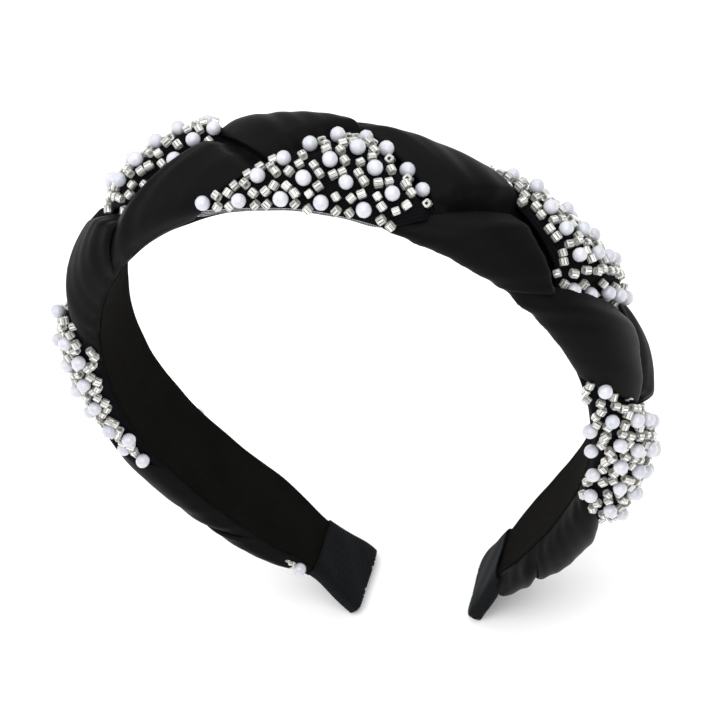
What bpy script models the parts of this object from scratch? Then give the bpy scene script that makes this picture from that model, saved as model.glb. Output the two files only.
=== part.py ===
"""Headband: a springy plastic hoop with a velvet lining on the head side, covered outside by a
flat plait of two satin strands and one beaded mesh strand, each tip closed by a ribbon sleeve.

Metres, +Z up, as it is worn. The origin is on the lining's inner face at the crown, where it
sits on the head. X runs from the left tip to the right tip, and Y across the band, with the
front edge at -Y. The hoop flexes open at the crown, so every long piece is made as a left
half and a right half that meet at x = 0, and the right half hangs from an empty on the
flexing axis.
"""

import math

import bmesh
import bpy
import numpy as np
from mathutils import Vector

MM = 0.001
GAP = 0.3 * MM  # between pieces that touch

# The inner line of the band, from the crown to one tip: its length, and how sharply it bends
# at the crown, at one third, at two thirds and at the tip, as the degrees that it would turn
# in the whole length at that bend.
HALF_LENGTH = 196.0 * MM
CROWN_BEND = 192.0
TEMPLE_BEND = 179.7
EAR_BEND = 144.0
TIP_BEND = -113.4  # negative, because the tips turn outwards again

# The lining's width at the crown, half way down and at the tip
CROWN_WIDTH = 28.0 * MM
MIDDLE_WIDTH = 24.5 * MM
TIP_WIDTH = 20.0 * MM
LINING_THICKNESS = 1.0 * MM

HOOP_THICKNESS = 1.6 * MM
HOOP_INSET = 1.5 * MM  # the hoop's edge lies this far inside the lining's edge
HOOP_CORNER = 0.4 * MM

# The plait: how thick it is at the crown, half way down and where it ends, and how far
# it reaches past the lining's edges
CROWN_PLAIT = 5.2 * MM
MIDDLE_PLAIT = 9.0 * MM
END_PLAIT = 5.0 * MM
PLAIT_OVERHANG = 1.2 * MM
PLAIT_PERIOD = 106.0 * MM  # along the band, until a strand is back at the same edge
BEADS_AT_FRONT = 4.0 * MM  # from the crown to the beaded strand's turn at the front edge

# The shape of a strand in the plait's section. SWAY is how far its middle goes to either
# side. All are shares of the plait's own half width and thickness, and with them one
# strand passes over the next without touching it.
SWAY = 0.61
STRAND_HALF = 1 - SWAY
RISE = 0.28  # how far a strand's middle goes up and down
STRAND_DEPTH = 0.18  # half a strand's thickness at its middle
TILT = 0.20  # how much one edge of a strand stands higher than its middle

SLEEVE_LENGTH = 16.5 * MM
SLEEVE_WALL = 0.6 * MM
SLEEVE_ROOM = 0.35 * MM  # between the sleeve's wall and what is inside it

PEARL_DIAMETER = 3.8 * MM
SEED_BEAD = 2.2 * MM
MESH_THICKNESS = 0.5 * MM
NET_LIFT = 0.55 * MM  # from the strand to the bead net sewn on it
PEARL_LIFT = 0.6 * MM  # from the bead net to a pearl
NET_START = -8.0  # degrees of the plait's cycle, from the strand's turn at the edge
NET_END = 58.0
NET_HALF = 0.78  # share of the strand's half width that the net covers
PEARLS_PER_LOBE = 5
PEARL_OFFSET = 0.4  # share of the strand's half width, to either side in turn
PEARL_CLEARING = 2.1 * MM  # from a pearl's side to the middle of the nearest seed bead

FLEX_AXIS_LIFT = 1.0 * MM  # from the outermost cloth at the crown up to the flexing axis

HALVES = (("left", -1), ("right", 1))
STATIONS = 33  # along one half of a long piece
LINE_SAMPLES = 1961

BLACK_SATIN = (0.012, 0.012, 0.014)
BLACK_VELVET = (0.010, 0.009, 0.009)
BLACK_MESH = (0.015, 0.015, 0.017)
BLACK_RIBBON = (0.009, 0.010, 0.012)
BLACK_PLASTIC = (0.020, 0.020, 0.020)
PEARL_WHITE = (0.83, 0.83, 0.87)
BEAD_SILVER = (0.72, 0.72, 0.70)


# ---------------------------------------------------------------- the band's own space


def line_table():
    """Distance, turned angle, x and z along the inner line, from the crown to the tip.
    The bend runs straight between its four given values."""
    s = np.linspace(0, HALF_LENGTH, LINE_SAMPLES)
    steps = np.linspace(0, HALF_LENGTH, 4)
    bends = np.radians([CROWN_BEND, TEMPLE_BEND, EAR_BEND, TIP_BEND])
    curvature = np.interp(s, steps, bends / HALF_LENGTH)
    ds = s[1] - s[0]

    def summed(values):
        means = (values[1:] + values[:-1]) / 2
        return np.concatenate([[0], np.cumsum(means)]) * ds

    angle = summed(curvature)
    return s, angle, summed(np.cos(angle)), summed(-np.sin(angle))


LINE_S, LINE_ANGLE, LINE_X, LINE_Z = line_table()


def place(s, y, h):
    """World points at distance s along the band, y across it and h outwards."""
    s, y, h = np.broadcast_arrays(s, y, h)
    side = np.where(s < 0, -1.0, 1.0)
    angle = np.interp(np.abs(s), LINE_S, LINE_ANGLE)
    x = np.interp(np.abs(s), LINE_S, LINE_X) + h * np.sin(angle)
    z = np.interp(np.abs(s), LINE_S, LINE_Z) + h * np.cos(angle)
    return np.stack([side * x, y, z], axis=-1)


def along(s, crown, middle, tip):
    """A size that runs straight from the crown to half way down and on to the tip."""
    steps = [0, HALF_LENGTH / 2, HALF_LENGTH]
    return np.interp(np.abs(s), steps, [crown, middle, tip])


def lining_width(s):
    return along(s, CROWN_WIDTH, MIDDLE_WIDTH, TIP_WIDTH)


def half_stations(side, start, end, count=STATIONS):
    """Distances along one half of the band, in rising order."""
    s = side * np.linspace(start, end, count)
    return s if side > 0 else s[::-1]


# ---------------------------------------------------------------- meshes and materials


def clear_scene():
    for obj in list(bpy.data.objects):
        bpy.data.objects.remove(obj, do_unlink=True)


def principled(name, colour, roughness, metallic=0.0):
    material = bpy.data.materials.new(name)
    material.use_nodes = True
    shader = material.node_tree.nodes["Principled BSDF"]
    shader.inputs["Base Color"].default_value = (*colour, 1.0)
    shader.inputs["Roughness"].default_value = roughness
    shader.inputs["Metallic"].default_value = metallic
    return material


def add_object(name, points, faces, look, parent, smooth=False):
    mesh = bpy.data.meshes.new(name)
    mesh.from_pydata(np.asarray(points).reshape(-1, 3).tolist(), [], faces)
    shell = bmesh.new()
    shell.from_mesh(mesh)
    bmesh.ops.recalc_face_normals(shell, faces=shell.faces)
    shell.to_mesh(mesh)
    shell.free()
    if smooth:
        mesh.shade_smooth()
        mesh.set_sharp_from_angle(angle=math.radians(40))
    mesh.materials.append(principled(name, *look))
    obj = bpy.data.objects.new(name, mesh)
    bpy.context.scene.collection.objects.link(obj)
    obj.parent = parent
    obj.matrix_parent_inverse = parent.matrix_world.inverted()
    return obj


def ring_sides(rows, columns, first=0):
    """Quads between neighbouring rings of the same number of points."""
    faces = []
    for i in range(rows - 1):
        for j in range(columns):
            k = (j + 1) % columns
            a, b = first + i * columns, first + (i + 1) * columns
            faces.append((a + j, a + k, b + k, b + j))
    return faces


def add_swept(name, points, look, parent):
    """A closed body from rings of points, shape (rings, points in a ring, 3), with flat ends."""
    rows, columns = points.shape[:2]
    faces = ring_sides(rows, columns)
    faces.append(tuple(range(columns)))
    faces.append(tuple(range((rows - 1) * columns, rows * columns)))
    return add_object(name, points, faces, look, parent, smooth=True)


def add_tube(name, outer, inner, look, parent):
    """A tube, open at both ends, from outer and inner rings of the same shape."""
    rows, columns = outer.shape[:2]
    inside = rows * columns
    faces = ring_sides(rows, columns) + ring_sides(rows, columns, inside)
    for row in (0, rows - 1):
        for j in range(columns):
            a, b = row * columns + j, row * columns + (j + 1) % columns
            faces.append((a, b, inside + b, inside + a))
    points = np.concatenate([outer.reshape(-1, 3), inner.reshape(-1, 3)])
    return add_object(name, points, faces, look, parent, smooth=True)


def add_sheet(name, lower, upper, look, parent):
    """A closed body between two grids of points of the same shape (rows, columns, 3)."""
    rows, columns = lower.shape[:2]
    top = rows * columns
    faces = []
    for i in range(rows - 1):
        for j in range(columns - 1):
            a = i * columns + j
            quad = (a, a + 1, a + columns + 1, a + columns)
            faces.append(quad)
            faces.append(tuple(top + v for v in quad))
    edge = [i for i in range(columns)]
    edge += [i * columns + columns - 1 for i in range(1, rows)]
    edge += [(rows - 1) * columns + i for i in range(columns - 2, -1, -1)]
    edge += [i * columns for i in range(rows - 2, 0, -1)]
    for a, b in zip(edge, edge[1:] + edge[:1]):
        faces.append((a, b, top + b, top + a))
    points = np.concatenate([lower.reshape(-1, 3), upper.reshape(-1, 3)])
    return add_object(name, points, faces, look, parent)


def rectangle_rings(s, half_width, low, high, corner=0.0):
    """Rings round a flat strip's section, with its corners cut off if corner is given."""
    if corner:
        across = [-1, -1, -1, -1, 1, 1, 1, 1]
        inset = [1, 0, 0, 1, 1, 0, 0, 1]
        rise = [0, 0, 1, 1, 1, 1, 0, 0]
        cut = [0, 1, -1, 0, 0, -1, 1, 0]
    else:
        across, inset, rise, cut = [-1, -1, 1, 1], [0] * 4, [0, 1, 1, 0], [0] * 4
    across, inset, rise, cut = map(np.array, (across, inset, rise, cut))
    y = across * (half_width[:, None] - corner * inset)
    h = low + (high - low) * rise + corner * cut
    return place(s[:, None], y, h[None, :])


# ---------------------------------------------------------------- lining, hoop and sleeves


def add_lining(half, side, parent):
    end = HALF_LENGTH - SLEEVE_WALL
    s = half_stations(side, GAP / 2, end)
    rings = rectangle_rings(s, lining_width(s) / 2 - SLEEVE_WALL, 0.0, LINING_THICKNESS)
    look = (BLACK_VELVET, 0.95)
    return add_swept(f"lining_{half}", rings, look, parent)


def hoop_base():
    return LINING_THICKNESS + GAP


def add_hoop(half, side, parent):
    s = half_stations(side, GAP / 2, HALF_LENGTH)
    half_width = lining_width(s) / 2 - HOOP_INSET
    low = hoop_base()
    rings = rectangle_rings(s, half_width, low, low + HOOP_THICKNESS, HOOP_CORNER)
    return add_swept(f"hoop_{half}", rings, (BLACK_PLASTIC, 0.45), parent)


def add_sleeve(half, side, parent):
    """The ribbon sleeve goes round lining and hoop, and ends level with the hoop."""
    s = half_stations(side, HALF_LENGTH - SLEEVE_LENGTH, HALF_LENGTH, 9)
    low, high = -SLEEVE_ROOM, hoop_base() + HOOP_THICKNESS + SLEEVE_ROOM
    room = lining_width(s) / 2 - SLEEVE_WALL + SLEEVE_ROOM
    inner = rectangle_rings(s, room, low, high)
    outer = rectangle_rings(s, room + SLEEVE_WALL, low - SLEEVE_WALL, high + SLEEVE_WALL)
    return add_tube(f"sleeve_{half}", outer, inner, (BLACK_RIBBON, 0.7), parent)


# ---------------------------------------------------------------- the plait


def plait_half(s):
    return lining_width(s) / 2 + PLAIT_OVERHANG


def plait_thickness(s):
    return along(s, CROWN_PLAIT, MIDDLE_PLAIT, END_PLAIT)


def plait_base():
    return hoop_base() + HOOP_THICKNESS + GAP


def strand_section(s, turn, x):
    """Places y across the band, and lower and upper heights, of a strand's own points.
    turn is 0, 1 or 2 thirds of a cycle behind the beaded strand, and x runs from -1 to 1
    across the strand. Its middle sways with the sine of the cycle and rises with the sine
    of twice the cycle. Its section is a lens, tilted with the cosine of three cycles."""
    cycle = 2 * math.pi * ((s - BEADS_AT_FRONT) / PLAIT_PERIOD - turn / 3) - math.pi / 2
    half, thick = plait_half(s), plait_thickness(s)
    y = SWAY * half * np.sin(cycle) + STRAND_HALF * half * x
    middle = 0.5 - RISE * np.sin(2 * cycle) - TILT * x * np.cos(3 * cycle)
    lens = STRAND_DEPTH * (1 - x**2)
    base = plait_base()
    return y, base + thick * (middle - lens), base + thick * (middle + lens)


def add_strand(name, turn, look, half, side, parent):
    end = HALF_LENGTH - SLEEVE_LENGTH - GAP
    s = half_stations(side, GAP / 2, end)[:, None]
    x = np.array([-1.0, -0.78, -0.42, 0.0, 0.42, 0.78, 1.0])[None, :]
    y, low, high = strand_section(s, turn, x)
    upper = place(s, y, high)
    lower = place(s, y, low)[:, -2:0:-1]
    rings = np.concatenate([upper, lower], axis=1)
    return add_swept(f"{name}_{half}", rings, look, parent)


# ---------------------------------------------------------------- beads and pearls


def beaded_lobes():
    """Distances along the band at which the beaded strand turns at an edge, left to right,
    as far as the net of a lobe ends before the sleeve begins."""
    last = HALF_LENGTH - SLEEVE_LENGTH
    reach = np.array([NET_START, NET_END]) / 360 * PLAIT_PERIOD
    turns = BEADS_AT_FRONT + PLAIT_PERIOD / 2 * np.arange(-9, 10)
    return [s for s in turns if s + reach[0] > -last and s + reach[1] < last]


def on_lobe(turn_s, degrees, x):
    """Distance along the band, and y and height of the beaded strand's upper face."""
    s = turn_s + degrees / 360 * PLAIT_PERIOD
    y, _, high = strand_section(s, 0, x)
    return s, y, high


def pearl_places(turn_s):
    """Middles of a lobe's pearls: along the lobe, to one side and the other in turn."""
    share = (np.arange(PEARLS_PER_LOBE) + 0.5) / PEARLS_PER_LOBE
    degrees = NET_START + (NET_END - NET_START) * share
    x = PEARL_OFFSET * (-1.0) ** np.arange(PEARLS_PER_LOBE)
    s, y, high = on_lobe(turn_s, degrees, x)
    rest = NET_LIFT + MESH_THICKNESS + PEARL_LIFT + PEARL_DIAMETER / 2
    return place(s, y, high + rest)


def add_bead_net(name, turn_s, parent):
    """A thin mesh over the lobe with seed beads on every second crossing of its grid,
    and a clearing round each pearl."""
    degrees = np.linspace(NET_START, NET_END, 11)[:, None]
    x = np.linspace(-NET_HALF, NET_HALF, 6)[None, :]
    s, y, high = on_lobe(turn_s, degrees, x)
    low = high + NET_LIFT
    mesh_top = place(s, y, low + MESH_THICKNESS)
    pearls = pearl_places(turn_s)
    reach = np.linalg.norm(mesh_top[:, :, None] - pearls[None, None], axis=-1).min(axis=-1)
    crossing = np.add.outer(np.arange(11), np.arange(6)) % 2 == 0
    beads = SEED_BEAD * (crossing & (reach > PEARL_DIAMETER / 2 + PEARL_CLEARING))
    upper = place(s, y, low + MESH_THICKNESS + beads)
    return add_sheet(name, place(s, y, low), upper, (BEAD_SILVER, 0.25, 0.6), parent)


def add_pearl(name, middle, parent):
    shell = bmesh.new()
    bmesh.ops.create_icosphere(shell, subdivisions=2, radius=PEARL_DIAMETER / 2)
    points = np.array([v.co for v in shell.verts]) + middle
    faces = [tuple(v.index for v in face.verts) for face in shell.faces]
    shell.free()
    return add_object(name, points, faces, (PEARL_WHITE, 0.25), parent, smooth=True)


# ---------------------------------------------------------------- the whole headband


def add_empty(name, location):
    empty = bpy.data.objects.new(name, None)
    empty.location = location
    bpy.context.scene.collection.objects.link(empty)
    bpy.context.view_layer.update()
    return empty


def flex_axis_height():
    return plait_base() + CROWN_PLAIT + FLEX_AXIS_LIFT


def build():
    clear_scene()
    bodies = {
        "left": add_empty("left_half", Vector((0, 0, 0))),
        "right": add_empty("crown_flex", Vector((0, 0, flex_axis_height()))),
    }
    strands = (
        ("mesh_strand", 0, (BLACK_MESH, 0.8)),
        ("satin_strand_a", 1, (BLACK_SATIN, 0.4)),
        ("satin_strand_b", 2, (BLACK_SATIN, 0.4)),
    )
    for half, side in HALVES:
        parent = bodies[half]
        add_lining(half, side, parent)
        add_hoop(half, side, parent)
        add_sleeve(half, side, parent)
        for name, turn, look in strands:
            add_strand(name, turn, look, half, side, parent)
    for number, turn_s in enumerate(beaded_lobes(), start=1):
        parent = bodies["left" if turn_s < 0 else "right"]
        add_bead_net(f"bead_net_{number}", turn_s, parent)
        for letter, middle in zip("abcdefgh", pearl_places(turn_s)):
            add_pearl(f"pearl_{number}{letter}", middle, parent)


build()
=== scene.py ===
"""The looks of a plaited headband: a springy hoop lined with velvet on the head side and covered
outside by a flat three-strand plait, two strands of folded black satin and one of black mesh
sewn with pearls and silver-lined glass seed beads. Each tip is wrapped in a ribbon sleeve.

Everything is placed by three band coordinates: s along the band from the crown, y across it
(the front edge is at -y) and h outwards from the lining's face that touches the head.
"""

import math

import bpy
import numpy as np
from mathutils import Matrix, Vector


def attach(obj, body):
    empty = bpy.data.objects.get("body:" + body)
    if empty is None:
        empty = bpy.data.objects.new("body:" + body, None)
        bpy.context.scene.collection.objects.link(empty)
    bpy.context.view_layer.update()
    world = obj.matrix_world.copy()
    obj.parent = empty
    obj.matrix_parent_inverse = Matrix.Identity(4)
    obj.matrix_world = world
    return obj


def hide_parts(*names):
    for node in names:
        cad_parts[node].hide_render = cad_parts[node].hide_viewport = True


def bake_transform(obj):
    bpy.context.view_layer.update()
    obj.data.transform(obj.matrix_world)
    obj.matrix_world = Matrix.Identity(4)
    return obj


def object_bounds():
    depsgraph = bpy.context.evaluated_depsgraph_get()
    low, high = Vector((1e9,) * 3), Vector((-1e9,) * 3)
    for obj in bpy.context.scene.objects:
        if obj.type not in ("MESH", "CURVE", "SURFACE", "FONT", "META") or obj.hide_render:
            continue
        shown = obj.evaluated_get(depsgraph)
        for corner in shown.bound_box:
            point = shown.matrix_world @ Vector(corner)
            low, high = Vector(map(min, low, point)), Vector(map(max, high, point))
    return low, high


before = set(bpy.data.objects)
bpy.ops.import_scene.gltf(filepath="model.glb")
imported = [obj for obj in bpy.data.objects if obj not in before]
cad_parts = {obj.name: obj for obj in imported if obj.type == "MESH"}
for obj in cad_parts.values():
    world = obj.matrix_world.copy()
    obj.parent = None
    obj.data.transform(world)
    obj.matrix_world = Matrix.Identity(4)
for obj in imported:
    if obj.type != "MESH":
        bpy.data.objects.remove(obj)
cad_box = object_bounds()


# ================================================================ the hoop
# A strip of black springy plastic, moulded in a curve that opens for the head and grips it.
# It is hidden between the lining and the plait, which are both glued to it.

MM = 0.001
HALF_LENGTH = 196.0 * MM  # from the crown to one tip, along the lining
BENDS = np.radians([192.0, 179.7, 144.0, -113.4])  # from the crown to the tip, per half length
LINING_THICKNESS = 1.0 * MM
GAP = 0.3 * MM  # the glue between two layers
HOOP_THICKNESS = 1.6 * MM
HOOP_INSET = 1.5 * MM  # how far in from the lining's edges it lies
HOOP_LOW = LINING_THICKNESS + GAP
BOTH = ("left", "right")


def summed(values, step):
    """The running integral of values taken at equal steps, by the trapezoid rule."""
    return np.concatenate([[0], np.cumsum((values[1:] + values[:-1]) / 2)]) * step


LINE_POINTS = 1961  # a tenth of a millimetre apart
LINE_S = np.linspace(0, HALF_LENGTH, LINE_POINTS)
LINE_STEP = LINE_S[1]
LINE_CURVE = np.interp(LINE_S, np.linspace(0, HALF_LENGTH, 4), BENDS / HALF_LENGTH)
LINE_ANGLE = summed(LINE_CURVE, LINE_STEP)
LINE_X = summed(np.cos(LINE_ANGLE), LINE_STEP)
LINE_Z = summed(-np.sin(LINE_ANGLE), LINE_STEP)


def place(s, y, h):
    """Points in the row's frame. The band's line turns by the integral of its curvature; a
    point stands off that line by h along the line's outward normal, and by y across it."""
    s, y, h = np.broadcast_arrays(s, y, h)
    side = np.where(s < 0, -1.0, 1.0)
    angle = np.interp(np.abs(s), LINE_S, LINE_ANGLE)
    x = np.interp(np.abs(s), LINE_S, LINE_X) + h * np.sin(angle)
    z = np.interp(np.abs(s), LINE_S, LINE_Z) + h * np.cos(angle)
    return np.stack([side * x, y, z], axis=-1)


def along(s, crown, middle, tip):
    """A size that runs straight from the crown to half way down, and on to the tip."""
    return np.interp(np.abs(s), [0, HALF_LENGTH / 2, HALF_LENGTH], [crown, middle, tip])


LINING_WIDTHS = (28.0 * MM, 24.5 * MM, 20.0 * MM)  # at the crown, half way down and at the tip
SLEEVE_LENGTH = 16.5 * MM
MOUTH_PINCH = 2.0 * MM  # how far each edge is drawn in where the ribbon is wrapped tight
PINCH_SPAN = 9.0 * MM  # how far from the sleeve's mouth that is still felt


def pinch(s):
    """How far each edge of the band is drawn in round the sleeve's mouth: a bell curve."""
    from_mouth = (np.abs(s) - (HALF_LENGTH - SLEEVE_LENGTH)) / PINCH_SPAN
    return MOUTH_PINCH * np.exp(-(from_mouth**2))


def lining_width(s):
    """The width of the lining, which the hoop and the plait follow."""
    return along(s, *LINING_WIDTHS)


def surface(name, points, material, around=False, capped=False, uv=None):
    """A piece from a grid of points (rows, columns, 3), with a quad between each four
    neighbours. around joins the last column to the first, and capped closes both ends.
    uv is a grid of (u, v) pairs in metres, for a cloth's weave."""
    rows, columns = points.shape[:2]
    index = np.arange(rows * columns).reshape(rows, columns)
    right = np.roll(index, -1, axis=1)
    last = columns if around else columns - 1
    a, d = index[:-1, :last], right[:-1, :last]
    b, c = index[1:, :last], right[1:, :last]
    quads = np.stack([a, b, c, d], axis=-1).reshape(-1, 4)
    faces = quads.tolist()
    if capped:
        faces += [index[0].tolist(), index[-1, ::-1].tolist()]
    mesh = bpy.data.meshes.new(name)
    mesh.from_pydata(points.reshape(-1, 3), [], faces)
    mesh.shade_smooth()
    if uv is not None:
        corner = np.empty(len(mesh.loops), int)
        mesh.loops.foreach_get("vertex_index", corner)
        layer = mesh.uv_layers.new(name="weave")
        layer.uv.foreach_set("vector", uv.reshape(-1, 2)[corner].astype(np.float32).ravel())
    mesh.materials.append(material)
    piece = bpy.data.objects.new(name, mesh)
    bpy.context.scene.collection.objects.link(piece)
    return piece


def thicken(piece, thickness, offset):
    """Gives a cloth its thickness, closed along its edges."""
    solid = piece.modifiers.new("thickness", "SOLIDIFY")
    solid.thickness = thickness
    solid.offset = offset
    return solid


def flex_at_crown(piece):
    """The piece crosses the crown, where the band bends when it is opened. Its turn is
    only baked into its points.
    """
    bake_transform(piece)


class Finish:
    """A material and the few nodes that each finish is built from. A socket is given by its
    name, with _ for a space, or by in and its number. A value is set on it, and a node or a
    node's output is linked to it."""

    def __init__(self, name, **sockets):
        self.material = bpy.data.materials.new(name)
        self.material.use_nodes = True
        self.tree = self.material.node_tree
        self.shader = self.tree.nodes["Principled BSDF"]
        for socket, value in sockets.items():
            self.shader.inputs[socket.replace("_", " ")].default_value = value

    def node(self, kind, settings=None, **sockets):
        made = self.tree.nodes.new("ShaderNode" + kind)
        for key, value in (settings or {}).items():
            setattr(made, key, value)
        for socket, value in sockets.items():
            self.feed(made, socket.replace("_", " "), value)
        return made

    def feed(self, node, socket, value):
        if socket.startswith("in"):
            socket = int(socket[2:])
        if isinstance(value, bpy.types.Node):
            value = value.outputs[0]
        if isinstance(value, bpy.types.NodeSocket):
            self.tree.links.new(value, node.inputs[socket])
        else:
            node.inputs[socket].default_value = value

    def maths(self, operation, first, second=0.0, third=0.0):
        return self.node("Math", {"operation": operation}, in0=first, in1=second, in2=third)

    def mix(self, share, first, second):
        """A colour that goes from first to second as share goes from 0 to 1."""
        made = self.node("Mix", {"data_type": "RGBA"})
        self.tree.links.new(share.outputs[0], made.inputs["Factor"])
        for number, colour in ((6, first), (7, second)):
            if isinstance(colour, bpy.types.NodeSocket):
                self.tree.links.new(colour, made.inputs[number])
            else:
                made.inputs[number].default_value = (*colour, 1)
        return made.outputs[2]

    def noise(self, vector, scale, detail=2.0):
        return self.node("TexNoise", None, Vector=vector, Scale=scale, Detail=detail)

    def weave_map(self):
        return self.node("UVMap", {"uv_map": "weave"}).outputs[0]

    def bump(self, height, distance, strength=1.0):
        made = self.node("Bump", None, Height=height, Strength=strength, Distance=distance)
        self.tree.links.new(made.outputs[0], self.shader.inputs["Normal"])


def plastic_finish():
    """Satin-black moulded plastic, with the faint grain of its mould."""
    finish = Finish("hoop plastic", Base_Color=(0.02, 0.02, 0.021, 1), Roughness=0.42)
    spot = finish.node("TexCoord").outputs["Object"]
    grain = finish.noise(spot, 1800)
    finish.feed(finish.shader, "Base Color", finish.mix(grain, (0.016,) * 3, (0.026,) * 3))
    finish.bump(grain, 0.02 * MM)
    return finish.material


HOOP_CORNERS = 5  # the power of the rounded rectangle
HOOP_ROWS, HOOP_COLUMNS = 197, 32
hoop_s = np.linspace(-HALF_LENGTH, HALF_LENGTH, HOOP_ROWS)[:, None]
hoop_turn = np.linspace(0, 2 * math.pi, HOOP_COLUMNS, endpoint=False)[None, :]


def rounded(wave):
    """Squares a sine or cosine up, for a rectangle with round corners."""
    return np.sign(wave) * np.abs(wave) ** (2 / HOOP_CORNERS)


hoop_half = lining_width(hoop_s) / 2 - HOOP_INSET - pinch(hoop_s)
hoop_y = hoop_half * rounded(np.cos(hoop_turn))
hoop_h = HOOP_LOW + HOOP_THICKNESS / 2 * (1 + rounded(np.sin(hoop_turn)))
hoop_points = place(hoop_s, hoop_y, hoop_h)[:, ::-1]  # this way round its faces point outwards
hoop = surface("hoop", hoop_points, plastic_finish(), around=True, capped=True)
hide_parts(*[f"hoop_{half}" for half in BOTH])
flex_at_crown(hoop)


# ================================================================ the lining
# One strip of black velvet ribbon, cut to the band's shape and glued to the hoop's head side,
# pile outwards, so that it grips the hair. Its cut edges waver a little.

LINING_ROWS, LINING_COLUMNS = 393, 29
EDGE_WAVER = 0.25 * MM
WAVER_LENGTHS = (3.1 * MM, 7.3 * MM)  # of the two sines that the cut edge follows
LEFT_SPREAD = 1.3 * MM  # how much wider it was cut along the back edge of each arm
RIGHT_SPREAD = 1.0 * MM
LEFT_SPREAD_FROM, LEFT_SPREAD_TO = 0.55, 0.95  # where that is, as shares of the half length
RIGHT_SPREAD_FROM, RIGHT_SPREAD_TO = 0.30, 0.94
PILE_DEPTH = 0.06 * MM
PILE_ALONG, PILE_ACROSS, PILE_TWIST = 2.3 * MM, 9, 5 * MM  # the pile's small waves
SLEEVE_WALL = 0.6 * MM


def velvet_finish():
    """Short upright pile: soft clumps of warm black, brighter where the pile is brushed, a
    fibre-scale bump, and sheen where it is seen edge on."""
    finish = Finish("velvet", Roughness=0.95, Specular_IOR_Level=0.015, Sheen_Weight=0.006,
                    Sheen_Roughness=0.5, Sheen_Tint=(0.85, 0.78, 0.66, 1))
    spot = finish.node("TexCoord").outputs["Object"]
    fibres = finish.noise(spot, 2600, 3)
    brushed = finish.noise(spot, 90, 4)
    share = finish.maths("MULTIPLY_ADD", fibres, 0.7, finish.maths("MULTIPLY", brushed, 0.5))
    colour = finish.mix(share, (0.0004, 0.0004, 0.00035), (0.0070, 0.0069, 0.0060))
    finish.feed(finish.shader, "Base Color", colour)
    height = finish.maths("ADD", fibres, finish.maths("MULTIPLY", brushed, 1.5))
    finish.bump(height, 0.25 * MM, 0.8)
    return finish.material


def one_arm(share, start, end):
    """0 outside start to end, and a half sine between."""
    return np.sin(math.pi * np.clip((share - start) / (end - start), 0, 1))


lining_end = HALF_LENGTH - SLEEVE_WALL
lining_s = np.linspace(-lining_end, lining_end, LINING_ROWS)[:, None]
lining_x = np.linspace(-1, 1, LINING_COLUMNS)[None, :]
waver = np.sin(lining_s / WAVER_LENGTHS[0]) + np.sin(lining_s / WAVER_LENGTHS[1] + 2)
lining_half = lining_width(lining_s) / 2 - SLEEVE_WALL - EDGE_WAVER * (1 + waver / 2)
lining_half = lining_half - pinch(lining_s)
lining_share = lining_s / HALF_LENGTH
spread = LEFT_SPREAD * one_arm(-lining_share, LEFT_SPREAD_FROM, LEFT_SPREAD_TO)
spread = spread + RIGHT_SPREAD * one_arm(lining_share, RIGHT_SPREAD_FROM, RIGHT_SPREAD_TO)
pile = np.sin(lining_s / PILE_ALONG) * np.sin(lining_x * PILE_ACROSS + lining_s / PILE_TWIST)
lining_uv = np.stack(np.broadcast_arrays(lining_s, lining_x * lining_half), axis=-1)
lining_y = lining_x * lining_half + spread * np.clip(lining_x, 0, 1)
lining_points = place(lining_s, lining_y, PILE_DEPTH * pile)
lining = surface("lining", lining_points, velvet_finish(), uv=lining_uv)
thicken(lining, LINING_THICKNESS, 1)
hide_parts(*[f"lining_{half}" for half in BOTH])
flex_at_crown(lining)


# ================================================================ the two satin strands
# Each is one long strip of black satin, folded so that its raw edges are inside, and laid in a
# three-strand plait over the hoop. It turns over the band's front edge and its back edge in
# turn, and after each turn it lies on top until the next strand from the other edge covers it.

PERIOD = 106.0 * MM  # along the band, until a strand is back at the same edge
OUT_RUN = 57.0 * MM  # along the band, from a turn at the front edge to the turn at the back
BACK_RUN = PERIOD - OUT_RUN
# For each strand: where it turns at the front edge, its width along that edge, and which
# strand covers it
STRANDS = {
    "mesh_strand": (-4.5 * MM, 43.0 * MM, "satin_strand_b"),
    "satin_strand_a": (32.5 * MM, 31.0 * MM, "mesh_strand"),
    "satin_strand_b": (64.0 * MM, 32.0 * MM, "satin_strand_a"),
}
# How far a strand's left edge is drawn in half way between its turns, and how much more
# of that on the run back than on the run out
DRAWN_IN = {
    "mesh_strand": (2.2 * MM, 0.0),
    "satin_strand_a": (0.0, 0.0),
    "satin_strand_b": (1.0 * MM, 2.0 * MM),
}
LAP = 2.0 * MM  # how far a strand's edge lies over its neighbour's
TUCK = 1.0 * MM  # how far past the covering edge it is all the way down
DIVE = 8.0 * MM  # the length in which a strand goes down under the next
TURN_UP = 6.0 * MM  # the length in which it comes up after a turn

CROWN_PLAIT = 5.2 * MM  # the plait's thickness at the crown, half way down and at each tip
MIDDLE_PLAIT = 9.0 * MM
LEFT_END = 4.4 * MM
RIGHT_END = 6.2 * MM
OVERHANG = 1.2 * MM  # how far the plait reaches past the lining's edges
PLAIT_BASE = HOOP_LOW + HOOP_THICKNESS + GAP
UNDER_TOP = 0.38  # of the plait's thickness, where a strand is under the others
UNDER_INSET = 1.3 * MM  # and how far in from the plait's edges it lies there
WIDEST_AT = 2.4 * MM  # the height at which the plait is widest
CURL = 1.3 * MM  # how far its edge curls in under its widest place
EDGE_LOW = 0.35 * MM  # the height of that curled edge
SIDE_POWER = 2.6  # of the curve from the top over the side
SIDE_POINTS = 400
TYPICAL_HALF, TYPICAL_TOP = 14 * MM, 10 * MM  # the section that arc lengths are taken on

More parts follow.
